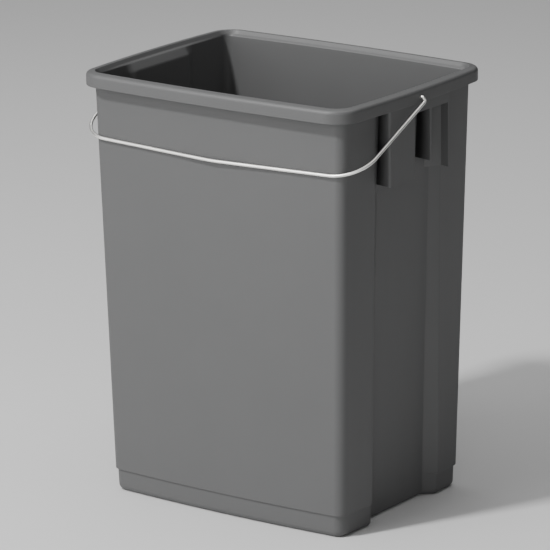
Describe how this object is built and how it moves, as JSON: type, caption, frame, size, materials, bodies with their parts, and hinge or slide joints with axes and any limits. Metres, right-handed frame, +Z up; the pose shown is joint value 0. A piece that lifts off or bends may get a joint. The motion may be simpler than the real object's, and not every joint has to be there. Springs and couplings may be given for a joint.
{
  "type": "wastebasket",
  "caption": "Rectangular grey plastic office wastebasket with a rolled rim and a swinging wire bail handle.",
  "frame": {"origin": "On the floor under the centre of the tub", "axes": "+Z up, +X to the right along the wide front, -Y towards the front"},
  "size_m": [0.3116, 0.2362, 0.4],
  "materials": {
    "plastic": "fine matte moulded texture",
    "steel": "bright zinc-plated wire"
  },
  "bodies": {
    "tub": {"tub": "plastic"},
    "bail": {"bail_handle": "steel"}
  },
  "joints": [
    {"name": "bail_pivot", "type": "hinge", "parent": "tub", "child": "bail", "pos_m": [0, 0, 0.3923], "axis": [-1, 0, 0], "range_deg": [0, 234]}
  ]
}
